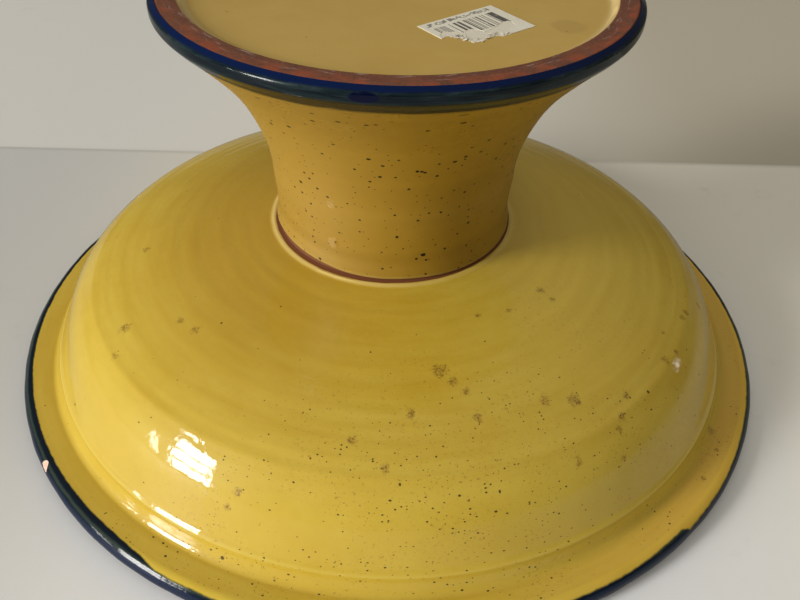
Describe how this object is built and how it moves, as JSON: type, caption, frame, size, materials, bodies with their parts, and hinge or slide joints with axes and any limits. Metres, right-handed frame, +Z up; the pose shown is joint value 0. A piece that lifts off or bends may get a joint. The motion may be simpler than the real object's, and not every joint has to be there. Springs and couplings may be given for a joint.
{
  "type": "footed serving bowl",
  "caption": "Wide shallow bowl of glazed earthenware on a flared hollow pedestal, shown upside down on its rim, for serving food.",
  "frame": {"origin": "centre of the rim on the ground, under the turning axis; the bowl stands upside down on its lip, as pictured", "axes": "+Z up along the turning axis, from the rim to the foot, so in use the bowl is turned over and +Z points down; -Y points at the viewer and +X to the viewer's right"},
  "size_m": [0.3799, 0.38, 0.1911],
  "materials": {
    "bowl_glaze": "gloss",
    "lip_glaze": "gloss",
    "seam_clay": "matte",
    "stem_glaze": "gloss",
    "plate_glaze": "gloss",
    "foot_clay": "matte",
    "band_glaze": "gloss",
    "label_paper": "matte"
  },
  "bodies": {
    "root": {"bowl": "bowl_glaze", "rim_lip": "lip_glaze", "seam_ring": "seam_clay", "pedestal_stem": "stem_glaze", "foot_plate": "plate_glaze", "foot_ring": "foot_clay", "foot_band": "band_glaze", "price_label": "label_paper"}
  },
  "joints": []
}
